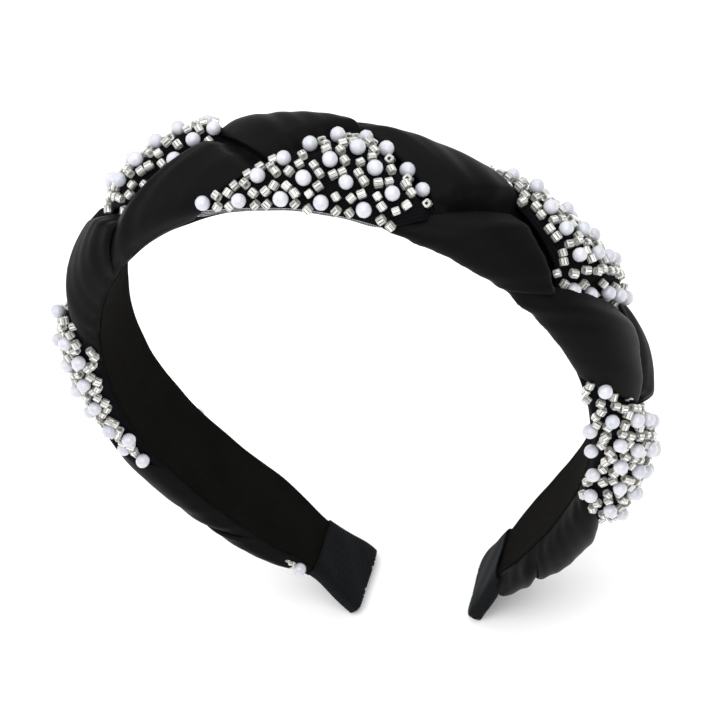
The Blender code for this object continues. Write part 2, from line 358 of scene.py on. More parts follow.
BELLY = 1.3 * MM  # how far the middle of a lobe stands proud
LEFT_DROP = 2.3 * MM  # a strand's edges lie lower than its middle
RIGHT_DROP = 0.7 * MM
SHOULDER = 9.0 * MM  # over this width
ROLL = 1.0 * MM  # how far a folded edge rolls down
ROLL_SPAN = ROLL / 0.6  # the width that it rolls in
CLOTH = 0.55 * MM
TAPER = 0.5  # how much of its thickness the plait loses towards a sleeve
TAPER_LENGTH = 26.0 * MM
ROUND_END = 9.0 * MM  # the length in which its end rounds off
LEFT_SHORT = 4.5 * MM  # how much sooner the left arm's plait ends
END_THICKNESS = 0.9 * MM  # of the plait where it goes in
END_INSET = 1.2 * MM  # and how much narrower it is there, at each edge
SIDE_LIFT = 0.55  # share of a strand's lift that also goes sideways
LEAN_RISE = 2 * MM  # the height in which the cloth comes to lean as far as it does
LEAN_AT_BACK = 0.5  # and how much less it leans at the back edge
SAG_RISE = 3 * MM
FOLDS = 6  # sines in a strand's soft folds
STRAND_ROWS = 600
MORE_COLUMNS = 18  # than a strand is wide in millimetres
WEAVE_ACROSS, WEAVE_ALONG = 0.6, 1.25  # how much closer the weave is set
SATIN_CREASE, MESH_CREASE = 0.55 * MM, 0.3 * MM  # how deep the soft folds are

strand_start = -(HALF_LENGTH - SLEEVE_LENGTH) - 0.5 * MM  # just inside the left sleeve
strand_end = HALF_LENGTH - SLEEVE_LENGTH + 2.5 * MM  # just over the right sleeve's mouth


def smooth(share):
    """0 below 0, 1 above 1, and a smooth S between."""
    share = np.clip(share, 0, 1)
    return share * share * (3 - 2 * share)


def round_side():
    """The plait's section from the top's middle over the side to the curled edge: arc length,
    across, height and curl as shares, and the whole arc. Above the widest place it is a
    quarter of a superellipse, and below it a quarter of an ellipse. Height is 1 at the top,
    0 where it is widest, and -1 at the curled edge."""
    turn = np.linspace(0, math.pi / 2, SIDE_POINTS)
    across = np.concatenate([np.sin(turn) ** (2 / SIDE_POWER), np.ones(SIDE_POINTS)])
    height = np.concatenate([np.cos(turn) ** (2 / SIDE_POWER), -np.sin(turn)])
    curl = np.concatenate([np.zeros(SIDE_POINTS), 1 - np.cos(turn)])
    y = across * TYPICAL_HALF - curl * CURL
    h = np.where(height > 0, height * (TYPICAL_TOP - WIDEST_AT), height * (WIDEST_AT - EDGE_LOW))
    arc = np.concatenate([[0], np.cumsum(np.hypot(np.diff(y), np.diff(h)))])
    return arc / arc[-1], across, height, curl, arc[-1]


SIDE_ARC, SIDE_ACROSS, SIDE_HEIGHT, SIDE_CURL, SIDE_LENGTH = round_side()


def section(v, half, top):
    """y and h on the plait's section at v, from -1 at the front edge to 1 at the back edge,
    in equal steps of arc length."""
    arc = np.abs(v)
    y = half * np.interp(arc, SIDE_ARC, SIDE_ACROSS) - CURL * np.interp(arc, SIDE_ARC, SIDE_CURL)
    height = np.interp(arc, SIDE_ARC, SIDE_HEIGHT)
    h = WIDEST_AT + np.where(height > 0, height * (top - WIDEST_AT),
                             height * (WIDEST_AT - EDGE_LOW))
    return np.sign(v) * y, h


def to_plait_end(s):
    """The distance to the plait's round end, which comes sooner on the left arm."""
    return np.where(s < 0, s - strand_start - LEFT_SHORT, strand_end - s)


def plait_end(s):
    """1 along the plait, falling to 0 in a round end where it meets a sleeve."""
    left = np.clip(to_plait_end(s) / ROUND_END, 0, 1)
    return np.sqrt(1 - (1 - left) ** 2)


def plait_top(s):
    """The plait's outside height. It tapers towards a sleeve, and its end is round."""
    left = along(s, CROWN_PLAIT, MIDDLE_PLAIT, LEFT_END)
    full = np.where(s < 0, left, along(s, CROWN_PLAIT, MIDDLE_PLAIT, RIGHT_END))
    full = full * (1 - TAPER * smooth(1 - to_plait_end(s) / TAPER_LENGTH))
    return PLAIT_BASE + END_THICKNESS + (full - END_THICKNESS) * plait_end(s)


def drift(s, knots):
    """A size that goes smoothly from one place along the band to the next. knots are pairs
    of a place and the size there, in millimetres."""
    places, sizes = np.array(knots).T * MM
    index = np.clip(np.searchsorted(places, s) - 1, 0, len(places) - 2)
    share = smooth((s - places[index]) / (places[index + 1] - places[index]))
    return sizes[index] + (sizes[index + 1] - sizes[index]) * share


def lean(s):
    """How far the cloth sits towards the front edge. It was pulled forwards on the right
    half when the plait was made, and most of all near the right tip."""
    return drift(s, [(-75, 0), (-45, -0.8), (0, 0.6), (35, 2.3), (80, 1.8), (125, 1.4), (165, 1.8)])


def back_sag(s):
    """How much lower the back edge of the plait lies than its front edge."""
    return drift(s, [(-110, 0), (-60, 1.2), (-15, 0.9), (35, 2.1), (80, 1.6), (120, 1.0)])


def back_spread(s):
    """How much further the cloth reaches past the back edge on the right arm."""
    return drift(s, [(70, 0), (110, 1.2), (160, 1.2), (190, 0)])


def mesh_sunk(s):
    """How much lower the mesh strand lies than the satin ones, mostly on the left arm."""
    return drift(s, [(-160, 1.6), (-112, 2.8), (-60, 1.2), (-20, 0)])


def cover_edges(name):
    """How far past a strand's own turn the edge of the strand that covers it starts at the
    other edge of the band, for the run out from the front and for the run back."""
    turn, _, covered_by = STRANDS[name]
    cover_turn, cover_width, _ = STRANDS[covered_by]
    out = (cover_turn + OUT_RUN - cover_width / 2 - turn) % PERIOD
    back = (cover_turn - cover_width / 2 - turn - OUT_RUN) % PERIOD
    return [(edge + PERIOD / 2) % PERIOD - PERIOD / 2 for edge in (out, back)]


def left_edge_shift(name, s):
    """How far a strand's left edge is drawn in where it crosses s: a raised cosine with a
    peak on each run, and a sine that tells the two runs apart."""
    turn, width, _ = STRANDS[name]
    both, difference = DRAWN_IN[name]
    phase = 2 * math.pi * (s - turn + width / 2) / PERIOD
    return both / 2 * (1 - np.cos(2 * phase)) - difference * np.sin(phase)


def strand_point(name, s, offset, creases=None):
    """y, h and how far on top (0 to 1) of a strand's fibre. A fibre zigzags between the edges
    and all fibres are alike, each moved along the band by its own offset. v runs evenly
    from -1 at a front turn to 1 at the back turn and back again. On the run out the strand
    is on top until the covering strand's fibres reach it, and the same on the run back.
    Its height is the plait's, more in the middle of a lobe, less near its edges, and much
    less where it is under another strand."""
    turn, width, covered_by = STRANDS[name]
    out_edge, back_edge = cover_edges(name)
    run = (s - turn - offset) % PERIOD
    outwards = run < OUT_RUN
    v = np.where(outwards, -1 + 2 * run / OUT_RUN, 1 - 2 * (run - OUT_RUN) / BACK_RUN)
    own_turn = s - run - offset
    other_fibre = np.where(outwards, s - (1 - v) / 2 * BACK_RUN, s - (1 + v) / 2 * OUT_RUN)
    cover = np.where(outwards, own_turn + out_edge, own_turn + OUT_RUN + back_edge)
    since_turn = np.where(outwards, run, run - OUT_RUN)
    left = cover + left_edge_shift(covered_by, s) - TUCK - other_fibre
    on_top = np.minimum(smooth(left / DIVE), smooth(since_turn / TURN_UP))
    reach = np.maximum(left, 0) / (np.maximum(left, 0) + since_turn + 1e-9)
    belly = BELLY * np.sin(math.pi * np.clip(reach, 0, 1)) * on_top
    from_left = offset + width / 2 - left_edge_shift(name, s)
    from_right = width / 2 + LAP - offset
    drop = LEFT_DROP * (1 - smooth(from_left / SHOULDER))
    drop = drop + RIGHT_DROP * (1 - smooth(from_right / SHOULDER))
    to_edge = np.clip(1 - np.minimum(from_left, from_right) / ROLL_SPAN, 0, 1)
    drop = drop + ROLL * (1 - np.sqrt(1 - to_edge**2))
    lift = belly - drop * on_top
    if name == "mesh_strand":
        lift = lift - mesh_sunk(s) * on_top
    if creases is not None:
        lift = lift + creases(run, offset, on_top)
    top = PLAIT_BASE + (plait_top(s) - PLAIT_BASE) * (UNDER_TOP + (1 - UNDER_TOP) * on_top)
    half = lining_width(s) / 2 + OVERHANG - UNDER_INSET * (1 - on_top)
    half = half - END_INSET * (1 - plait_end(s)) - pinch(s) + SIDE_LIFT * lift
    y, h = section(v, half, top + lift)
    at_back = smooth(2 * v)
    y = y - lean(s) * smooth((h - EDGE_LOW) / LEAN_RISE) * (1 - LEAN_AT_BACK * at_back)
    y = y + back_spread(s) * at_back
    h = h - back_sag(s) * at_back * smooth((h - WIDEST_AT) / SAG_RISE)
    return y, h, on_top


def soft_creases(seed, depth):
    """Long soft folds along a strand: a few sines across it that wander along it, deeper
    where it goes under another strand."""
    dice = np.random.default_rng(seed)
    waves = [(dice.uniform(5, 15) * MM, dice.uniform(25, 70) * MM, dice.uniform(0, 6.28))
             for _ in range(FOLDS)]

    def creases(run, offset, on_top):
        total = 0
        for across, length, start in waves:
            total = total + np.sin(2 * math.pi * (offset / across + run / length) + start)
        strained = 1 - np.abs(2 * on_top - 1)
        return depth / FOLDS * total * (0.5 + 1.6 * strained)

    return creases


def strand_grid(name):
    """s and offset at a strand's grid: even steps along the band, and across the strand
    steps that close up towards its folded edges."""
    width = STRANDS[name][1]
    s = np.linspace(strand_start, strand_end, STRAND_ROWS)[:, None]
    even = np.linspace(-1, 1, int(width / MM) + MORE_COLUMNS)[None, :]
    share = (even + np.sin(even * math.pi / 2)) / 2
    left = -width / 2 + left_edge_shift(name, s)
    return s, left + (width / 2 + LAP - left) * (share + 1) / 2


def add_strand(name, creases, material):
    """The strand's cloth. Its weave runs along and across it, and its flat length is that of
    its zigzag over the plait's section."""
    s, offset = strand_grid(name)
    y, h, _ = strand_point(name, s, offset, creases)
    uv = np.stack(np.broadcast_arrays(offset * WEAVE_ACROSS, s * WEAVE_ALONG), axis=-1)
    strand = surface(name, place(s, y, h), material, uv=uv)
    thicken(strand, CLOTH, 0)
    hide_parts(*[f"{name}_{half}" for half in BOTH])
    flex_at_crown(strand)
    return strand


def satin_finish():
    """Black satin: long floats in one direction give a soft, broad shine, broken by a fine
    twill; slow patches of wear and tension change how bright it is."""
    finish = Finish("satin", Roughness=0.46, Specular_IOR_Level=0.045, Anisotropic=0.35,
                    Sheen_Weight=0.005, Sheen_Roughness=0.35, Sheen_Tint=(0.80, 0.84, 0.92, 1))
    weave = finish.weave_map()
    twill = finish.node("TexWave", {"bands_direction": "DIAGONAL"}, Vector=weave, Scale=1100,
                        Distortion=0.6, Detail=1.0)
    spot = finish.node("TexCoord").outputs["Object"]
    patches = finish.noise(spot, 60, 3)
    threads = finish.noise(spot, 2200, 2)
    share = finish.maths("MULTIPLY_ADD", twill, 0.35, finish.maths("MULTIPLY", threads, 0.5))
    share = finish.maths("MULTIPLY_ADD", patches, 0.3, share)
    colour = finish.mix(share, (0.0005, 0.0005, 0.0006), (0.0046, 0.0047, 0.0053))
    finish.feed(finish.shader, "Base Color", colour)
    rough = finish.maths("MULTIPLY_ADD", patches, 0.16, 0.38)
    finish.feed(finish.shader, "Roughness", rough)
    finish.bump(finish.maths("ADD", twill, threads), 0.03 * MM, 0.6)
    return finish.material


satin = satin_finish()
for number, name in enumerate(("satin_strand_a", "satin_strand_b")):
    add_strand(name, soft_creases(11 + number, SATIN_CREASE), satin)


# ================================================================ the mesh strand
# The third strand of the plait is a strip of black mesh folded over a soft core. Near the
# crown a few silver threads are woven in where it turns over the band's edges, and they glint.

THREAD_LINES = (2.3, 2.8, 3.3, 3.8)  # mm in from the curled edge
THREAD_REACH = 50.0 * MM  # the threads end this far from the crown
THREADS_END = 50.0  # mm, added to the distance from the edge where there are none
THREAD_HALF = 0.11  # mm


def mesh_finish():
    """Fine black net, with four silver threads that follow the band's edges. from_edge is
    the distance from the curled edge, in millimetres."""
    finish = Finish("beaded mesh", Roughness=0.75, Specular_IOR_Level=0.04)
    weave = finish.weave_map()
    across = finish.node("TexWave", {"bands_direction": "X"}, Vector=weave, Scale=420)
    down = finish.node("TexWave", {"bands_direction": "Y"}, Vector=weave, Scale=420)
    net = finish.maths("MULTIPLY", across, down)
    from_edge = finish.node("Attribute", {"attribute_name": "from_edge"}).outputs["Fac"]
    silver = None
    for line in THREAD_LINES:
        near = finish.maths("COMPARE", from_edge, line, THREAD_HALF)
        silver = near if silver is None else finish.maths("MAXIMUM", silver, near)
    twist = finish.node("TexWave", {"bands_direction": "Y"}, Vector=weave, Scale=650)
    silver = finish.maths("MULTIPLY", silver, finish.maths("GREATER_THAN", twist, 0.3))
    cloth = finish.mix(net, (0.0018, 0.0018, 0.0024), (0.0062, 0.0062, 0.0078))
    colour = finish.mix(silver, cloth, (0.60, 0.60, 0.62))
    finish.feed(finish.shader, "Base Color", colour)
    finish.feed(finish.shader, "Metallic", silver)
    finish.feed(finish.shader, "Roughness", finish.maths("MULTIPLY_ADD", silver, -0.45, 0.78))
    finish.bump(finish.maths("ADD", net, silver), 0.08 * MM, 0.7)
    return finish.material


mesh_creases = soft_creases(5, MESH_CREASE)
mesh_strand = add_strand("mesh_strand", mesh_creases, mesh_finish())
mesh_s, mesh_offset = strand_grid("mesh_strand")
mesh_run = (mesh_s - STRANDS["mesh_strand"][0] - mesh_offset) % PERIOD
to_turn = np.where(mesh_run < OUT_RUN, np.minimum(mesh_run, OUT_RUN - mesh_run) / OUT_RUN,
                   np.minimum(mesh_run - OUT_RUN, PERIOD - mesh_run) / BACK_RUN)
edge_mm = to_turn * 2 * SIDE_LENGTH / MM + THREADS_END * (np.abs(mesh_s) > THREAD_REACH)
edge_layer = mesh_strand.data.attributes.new("from_edge", "FLOAT", "POINT")
edge_layer.data.foreach_set("value", edge_mm.astype(np.float32).ravel())


# ================================================================ pearls and seed beads
# Round glass pearls of 3.7 mm and square-cut, silver-lined glass seed beads of 2 mm, sewn one
# by one to each lobe of the mesh strand. The seed beads run in pairs along the sides of a
# diamond lattice, and a pearl sits in each diamond. The black mesh shows between them.

PEARL_RADIUS = 1.85 * MM
SEED_SIZE = 1.95 * MM
RISING, FALLING = math.radians(42), math.radians(-42)  # the lattice's two directions
LATTICE = np.arange(-14, 15)  # the diamonds that are tried each way
TILT = 0.05  # how far the whole lattice is turned at most, in radians
PAIR = (0.32, 0.68)  # where the two beads are along a side
LOOSE = 0.22 * MM  # how far a bead sits from its even place
TURNED = 0.12  # and how far its hole is turned, in radians
DROPPED = 0.05  # share of the seed beads left out
CLEAR_OF_SLEEVE = 4 * MM
SEED_ROOM = (0.3 * MM, 0.0)  # from a bead's middle to the strand's left and right edges
PEARL_ROOM = (1.0 * MM, 2.0 * MM)
SHOWS = 0.18  # beads are sewn where the strand is at least this far up from under the next
MESH_TURN, MESH_WIDTH, _ = STRANDS["mesh_strand"]


def lobe_surface(turn, outwards, s, arc):
    """Points on the mesh strand's lobe. arc is the distance across the band along the
    plait's section, from its middle."""
    v = arc / SIDE_LENGTH
    run = np.where(outwards, (v + 1) / 2 * OUT_RUN, OUT_RUN + (1 - v) / 2 * BACK_RUN)
    offset = s - turn - run
    y, h, on_top = strand_point("mesh_strand", s, offset, mesh_creases)
    return place(s, y, h), offset, on_top


def on_lobe(turn, outwards, s, arc):
    """Points, and the surface's normal and its direction along the band, by differences."""
    step = 0.4 * MM
    middle, offset, on_top = lobe_surface(turn, outwards, s, arc)
    ahead = lobe_surface(turn, outwards, s + step, arc)[0]
    behind = lobe_surface(turn, outwards, s - step, arc)[0]
    up = lobe_surface(turn, outwards, s, arc + step)[0]
    down = lobe_surface(turn, outwards, s, arc - step)[0]
    forward, sideways = ahead - behind, up - down
    normal = np.cross(forward, sideways)
    normal /= np.linalg.norm(normal, axis=-1, keepdims=True)
    forward /= np.linalg.norm(forward, axis=-1, keepdims=True)
    return middle, normal, forward, offset, on_top


def lattice(turn, outwards, cell, dice):
    """Places of a lobe's pearls and seed beads, as (s, arc, direction of the bead's hole).
    A diamond's corner is i times one direction plus j times the other, and cell is the
    length of its side."""
    i, j = np.meshgrid(LATTICE, LATTICE)
    i, j = i.ravel(), j.ravel()
    mirror = 1 if outwards else -1
    tilt = dice.uniform(-TILT, TILT)
    rising = np.array([math.cos(RISING + tilt), mirror * math.sin(RISING + tilt)]) * cell
    falling = np.array([math.cos(FALLING + tilt), mirror * math.sin(FALLING + tilt)]) * cell
    centre = np.array([turn + (0 if outwards else OUT_RUN) + MESH_WIDTH / 4, 0])
    centre = centre + dice.uniform(-0.5, 0.5) * rising + dice.uniform(-0.5, 0.5) * falling

    def at(a, b):
        return centre + a[:, None] * rising + b[:, None] * falling

    pearls = at(i + 0.5, j + 0.5)
    pearls = np.column_stack([pearls, np.full(len(pearls), RISING * mirror)])
    seeds = []
    for part in PAIR:
        seeds.append(np.column_stack([at(i + part, j), np.full(len(i), RISING * mirror)]))
        seeds.append(np.column_stack([at(i, j + part), np.full(len(i), FALLING * mirror)]))
    return pearls, np.concatenate(seeds)


def kept_on_lobe(turn, outwards, places, reach, room, dice):
    """Moves each bead a little from its even place, and keeps those that lie on the part
    of the lobe that shows, clear of the covering strands and of the sleeves."""
    places[:, :2] += dice.normal(0, LOOSE, (len(places), 2))
    places[:, 2] += dice.normal(0, TURNED, len(places))
    s, arc = places[:, 0], places[:, 1]
    inside = np.abs(arc) < SIDE_LENGTH * reach
    places, s, arc = places[inside], s[inside], arc[inside]
    _, offset, on_top = lobe_surface(turn, outwards, s, arc)
    left = -MESH_WIDTH / 2 + left_edge_shift("mesh_strand", s)
    keep = (offset > left + room[0]) & (offset < MESH_WIDTH / 2 + LAP - room[1])
    keep &= (on_top > SHOWS) & (to_plait_end(s) > CLEAR_OF_SLEEVE)
    return places[keep]


def bead_frames(turn, outwards, places):
    """Each bead's place, hole direction, side direction and normal."""
    s, arc, angle = places.T
    middle, normal, forward, _, _ = on_lobe(turn, outwards, s, arc)
    sideways = np.cross(normal, forward)
    cos, sin = np.cos(angle)[:, None], np.sin(angle)[:, None]
    hole = cos * forward + sin * sideways
    return middle, hole, np.cross(normal, hole), normal


def copies(name, shape_points, shape_faces, frames, lift, size, material, shape_uv=None):
    """One piece of many copies of a shape. Each copy's own x, y and z axes are turned to its
    hole, side and normal, scaled by its size and set lift above the cloth."""
    middle, hole, side, normal = frames
    axes = np.stack([hole, side, normal], axis=1)
    turned = np.einsum("pk,nkc->npc", shape_points, axes) * size[:, None, None]
    points = turned + (middle + lift[:, None] * normal)[:, None]
    count, corners = len(shape_points), len(shape_faces[0])
    shift = np.arange(len(middle))[:, None, None] * count
    faces = (np.array(shape_faces)[None] + shift).reshape(-1, corners)
    mesh = bpy.data.meshes.new(name)
    mesh.from_pydata(points.reshape(-1, 3), [], faces.tolist())
    mesh.materials.append(material)
    if shape_uv is not None:
        layer = mesh.uv_layers.new(name="weave")
        repeated = np.tile(shape_uv.reshape(-1, 2), (len(middle), 1))
        layer.uv.foreach_set("vector", repeated.astype(np.float32).ravel())
    piece = bpy.data.objects.new(name, mesh)
    bpy.context.scene.collection.objects.link(piece)
    return piece


def pearl_shape(columns=12, rows=9, hole=0.16, fullness=0.92, length=0.94, dimple=0.86):
    """A unit ball with its poles on x, a little shorter that way as a drilled bead is. It is
    a grid from pole to pole, and each pole is a dimple where the thread's hole comes out."""
    turn = np.linspace(hole, math.pi - hole, rows)[:, None]
    around = np.linspace(0, 2 * math.pi, columns, endpoint=False)[None, :]
    ring = np.sin(turn) ** fullness
    ball = (length * np.cos(turn), ring * np.cos(around), ring * np.sin(around))
    points = np.stack(np.broadcast_arrays(*ball), axis=-1)
    centres = np.array([[dimple, 0, 0], [-dimple, 0, 0]])
    index = np.arange(rows * columns).reshape(rows, columns)
    right = np.roll(index, -1, axis=1)
    quads = np.stack([index[:-1], index[1:], right[1:], right[:-1]], axis=-1).reshape(-1, 4)
    triangles = np.concatenate([quads[:, [0, 1, 2]], quads[:, [0, 2, 3]]])
    first = np.stack([np.full(columns, rows * columns), index[0], right[0]], axis=-1)
    last = np.stack([np.full(columns, rows * columns + 1), right[-1], index[-1]], axis=-1)
    faces = np.concatenate([triangles, first, last])
    return np.concatenate([points.reshape(-1, 3), centres]), faces


def seed_shape():
    """A short square tube with its hole along x: rings of eight points, a square with cut
    corners, at the hole's end, the rim, the shoulder and then back the same way."""
    corner = np.array([(1, 0.62), (0.62, 1), (-0.62, 1), (-1, 0.62),
                       (-1, -0.62), (-0.62, -1), (0.62, -1), (1, -0.62)])
    along_x = np.array([-0.30, -0.46, -0.5, -0.40, 0.40, 0.5, 0.46, 0.30])
    reach = np.array([0.16, 0.20, 0.40, 0.5, 0.5, 0.40, 0.20, 0.16])
    rings = reach[:, None, None] * corner[None]
    x = np.broadcast_to(along_x[:, None, None], (8, 8, 1))
    points = np.concatenate([x, rings], axis=-1)
    index = np.arange(64).reshape(8, 8)
    right = np.roll(index, -1, axis=1)
    below, below_right = np.roll(index, -1, axis=0), np.roll(right, -1, axis=0)
    quads = np.stack([index, right, below_right, below], axis=-1).reshape(-1, 4)
    side_u = np.tile([[0.0, 0.0, 0.0, 0.0], [0.0, 1.0, 1.0, 0.0]], (32, 1))
    ring_v = np.array([0, 0.02, 0.05, 0.1, 0.9, 0.95, 0.98, 1.0])
    row_v, end_v = ring_v.repeat(8), np.roll(ring_v, -1).repeat(8)
    side_v = np.stack([row_v, row_v, end_v, end_v], axis=-1)
    return points.reshape(-1, 3), quads, np.stack([side_u, side_v], axis=-1)


def pearl_finish():
    """Glass pearl: a milky body under a clear coat, with a faint lilac cast that changes
    slowly from bead to bead and over each bead."""
    finish = Finish("pearl", Roughness=0.22, Coat_Weight=0.9, Coat_Roughness=0.06,
                    Subsurface_Weight=0.12, Subsurface_Scale=0.6 * MM, Sheen_Weight=0.15)
    spot = finish.node("TexCoord").outputs["Object"]
    cloud = finish.noise(spot, 150, 2)
    skin = finish.noise(spot, 900, 3)
    share = finish.maths("MULTIPLY_ADD", cloud, 0.8, finish.maths("MULTIPLY", skin, 0.35))
    colour = finish.mix(share, (0.34, 0.355, 0.42), (0.66, 0.66, 0.70))
    finish.feed(finish.shader, "Base Color", colour)
    finish.bump(skin, 0.02 * MM, 0.4)
    return finish.material


def seed_finish():
    """Silver-lined glass, seen from the side: the hole's silver lining runs down the middle as
    a bright stripe, its own silver with a painted reflection, between two dark lines of
    painted shade along the hole's sides, and the clear glass round it is grey."""
    finish = Finish("silver-lined glass", Roughness=0.12, Metallic=0.35, Coat_Weight=1.0,
                    Coat_Roughness=0.03)
    place_on_side = finish.node("SeparateXYZ", None, Vector=finish.weave_map())
    u, v = place_on_side.outputs[0], place_on_side.outputs[1]
    spot = finish.node("TexCoord").outputs["Object"]
    cloud = finish.noise(spot, 420, 2)
    from_middle = finish.maths("ABSOLUTE", finish.maths("SUBTRACT", u, 0.5))
    from_centre = finish.maths("ABSOLUTE", finish.maths("SUBTRACT", v, 0.5))
    in_length = finish.maths("LESS_THAN", from_centre, 0.36)
    # Painted reflection: the stripe of the silver lining is painted bright, its own silver and the
    # light it reflects.
    lining = finish.maths("MULTIPLY", finish.maths("LESS_THAN", from_middle, 0.20), in_length)
    # Painted shade: two dark lines along the hole's sides, where the hole is in shade.
    hole_shade = finish.maths("COMPARE", from_middle, 0.28, 0.08)
    hole_shade = finish.maths("MULTIPLY", hole_shade, in_length)
    bright = finish.mix(cloud, (0.66, 0.65, 0.61), (1.0, 1.0, 0.98))
    glass = finish.mix(cloud, (0.22, 0.22, 0.20), (0.70, 0.69, 0.65))
    colour = finish.mix(lining, glass, bright)
    # The painted shade of the hole's sides is laid over the colour in near black.
    colour = finish.mix(finish.maths("MULTIPLY", hole_shade, 0.92), colour, (0.03, 0.03, 0.03))
    finish.feed(finish.shader, "Base Color", colour)
    return finish.material


PEARL_POINTS, PEARL_FACES = pearl_shape()
SEED_POINTS, SEED_FACES, SEED_UV = seed_shape()
pearl_look, seed_look = pearl_finish(), seed_finish()


def add_lobe(number, turn, outwards, cell, reach, body, nodes_from):
    """The pearls and the seed beads of one lobe, in two pieces. cell is the side of the
    lattice's diamonds, and reach is how near to the curled edge the beads go, as a share
    of the section's half. body is the half they ride on, or None across the crown, and
    nodes_from is the number in the names of the nodes that they stand for."""
    dice = np.random.default_rng(100 + number)
    pearls, seeds = lattice(turn, outwards, cell, dice)
    pearls = kept_on_lobe(turn, outwards, pearls, reach, PEARL_ROOM, dice)
    seeds = kept_on_lobe(turn, outwards, seeds, reach, SEED_ROOM, dice)
    seeds = seeds[dice.random(len(seeds)) > DROPPED]
    pearl_size = PEARL_RADIUS * dice.uniform(0.95, 1.04, len(pearls))
    pearl_lift = CLOTH / 2 + pearl_size * dice.uniform(0.94, 1.06, len(pearls))
    seed_size = SEED_SIZE * dice.uniform(0.92, 1.05, len(seeds))
    seed_lift = CLOTH / 2 + seed_size * dice.uniform(0.46, 0.60, len(seeds))
    made = [
        copies(f"pearls_{number}", PEARL_POINTS, PEARL_FACES,
               bead_frames(turn, outwards, pearls), pearl_lift, pearl_size, pearl_look),
        copies(f"seed_beads_{number}", SEED_POINTS, SEED_FACES,
               bead_frames(turn, outwards, seeds), seed_lift, seed_size, seed_look, SEED_UV),
    ]
    made[0].data.shade_smooth()
    if nodes_from:
        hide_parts(*[f"pearl_{nodes_from}{letter}" for letter in "abcde"])
        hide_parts(f"bead_net_{nodes_from}")
    for piece, slot in zip(made, ("pearl_beads", "silver_beads")):
        if body:
            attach(piece, body)
        else:
            flex_at_crown(piece)


add_lobe(1, MESH_TURN - 2 * PERIOD, False, 5.6 * MM, 0.78, "left_half", 1)
add_lobe(2, MESH_TURN - PERIOD, True, 5.4 * MM, 0.90, "left_half", 2)
add_lobe(3, MESH_TURN - PERIOD, False, 5.4 * MM, 0.84, "left_half", 3)
add_lobe(4, MESH_TURN, True, 6.0 * MM, 0.78, None, 4)
add_lobe(5, MESH_TURN, False, 5.4 * MM, 0.84, "right_half", 5)
add_lobe(6, MESH_TURN + PERIOD, True, 5.2 * MM, 0.89, "right_half", 6)
add_lobe(7, MESH_TURN + PERIOD, False, 5.6 * MM, 0.78, "right_half", None)

# One more pearl, with two seed beads behind it, sits at the left sleeve's mouth at the front
# edge, where the mesh strand's end is tucked in.
LAST_PEARL_S = -(HALF_LENGTH - SLEEVE_LENGTH) + 2.9 * MM
LAST_SEEDS_S = LAST_PEARL_S + np.array([2.6, 4.2]) * MM
LAST_BEAD_Y = -9.3 * MM
LAST_BEAD_H = 2.5 * MM


def frames_at_sleeve(s):
    """The frames of beads that lie there with their holes across the band."""
    middle = place(s, LAST_BEAD_Y, LAST_BEAD_H)
    normal = place(s, LAST_BEAD_Y, LAST_BEAD_H + 1.0) - middle
    hole = np.broadcast_to([0.0, 1.0, 0.0], middle.shape)
    return middle, hole, np.cross(normal, hole), normal


last_pearl = copies("pearl_at_sleeve", PEARL_POINTS, PEARL_FACES,
                    frames_at_sleeve(np.array([LAST_PEARL_S])),
                    np.zeros(1), np.full(1, PEARL_RADIUS), pearl_look)
last_pearl.data.shade_smooth()
last_seeds = copies("seed_beads_at_sleeve", SEED_POINTS, SEED_FACES,
                    frames_at_sleeve(LAST_SEEDS_S),
                    np.zeros(2), np.full(2, SEED_SIZE), seed_look, SEED_UV)
for beads, slot in ((last_pearl, "pearl_beads"), (last_seeds, "silver_beads")):
    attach(beads, "left_half")


# ================================================================ the tip sleeves
# A short piece of black ribbed ribbon is wrapped flat round each tip over the ends of the
# lining and the plait, and glued. Its end is cut with pinking shears, in small teeth.

SLEEVE_ROOM = 0.35 * MM  # between the ribbon and what is inside
RIBBON_SHARE = 0.9  # of the sleeve's wall that is ribbon
MOUTH_BULGE = 1.1 * MM  # where the plait's end goes in
WAVE_DEPTH, WAVES_ALONG, WAVES_ACROSS = 0.12 * MM, 9, 4
MOUTH_SHARE = 0.25  # of its length, in which the bulge dies away
TEETH = 40  # round the cut end
TOOTH_DEPTH = 0.9 * MM
TEETH_FROM = 0.8  # of its length
FLARE_FROM = 0.5
RIB = 0.75 * MM
TIP_FLARE = 0.4 * MM  # how far its cut end stands out at the sides
SLEEVE_ROWS, SLEEVE_COLUMNS = 31, 320


def ribbon_finish():
    """Grosgrain: round ribs side by side, a dull blue-black, with a painted highlight along
    the ribs' backs.
    """
    finish = Finish("ribbed ribbon", Roughness=0.62, Specular_IOR_Level=0.05,
                    Sheen_Weight=0.01, Sheen_Tint=(0.78, 0.84, 0.95, 1))
    weave = finish.weave_map()
    ribs = finish.node("TexWave", {"bands_direction": "X"}, Vector=weave,
                       Scale=math.pi / 10 / RIB)
    spot = finish.node("TexCoord").outputs["Object"]
    threads = finish.noise(spot, 1500, 2)
    # Painted highlight: the ribs' backs are lighter and bluer, and the threads' noise varies the
    # tone at random.
    share = finish.maths("MULTIPLY_ADD", ribs, 0.6, finish.maths("MULTIPLY", threads, 0.4))
    colour = finish.mix(share, (0.0008, 0.0009, 0.0012), (0.0072, 0.0080, 0.0098))
    finish.feed(finish.shader, "Base Color", colour)
    finish.bump(finish.maths("MULTIPLY_ADD", threads, 0.3, ribs), 0.18 * MM, 0.8)
    return finish.material


ribbon = ribbon_finish()


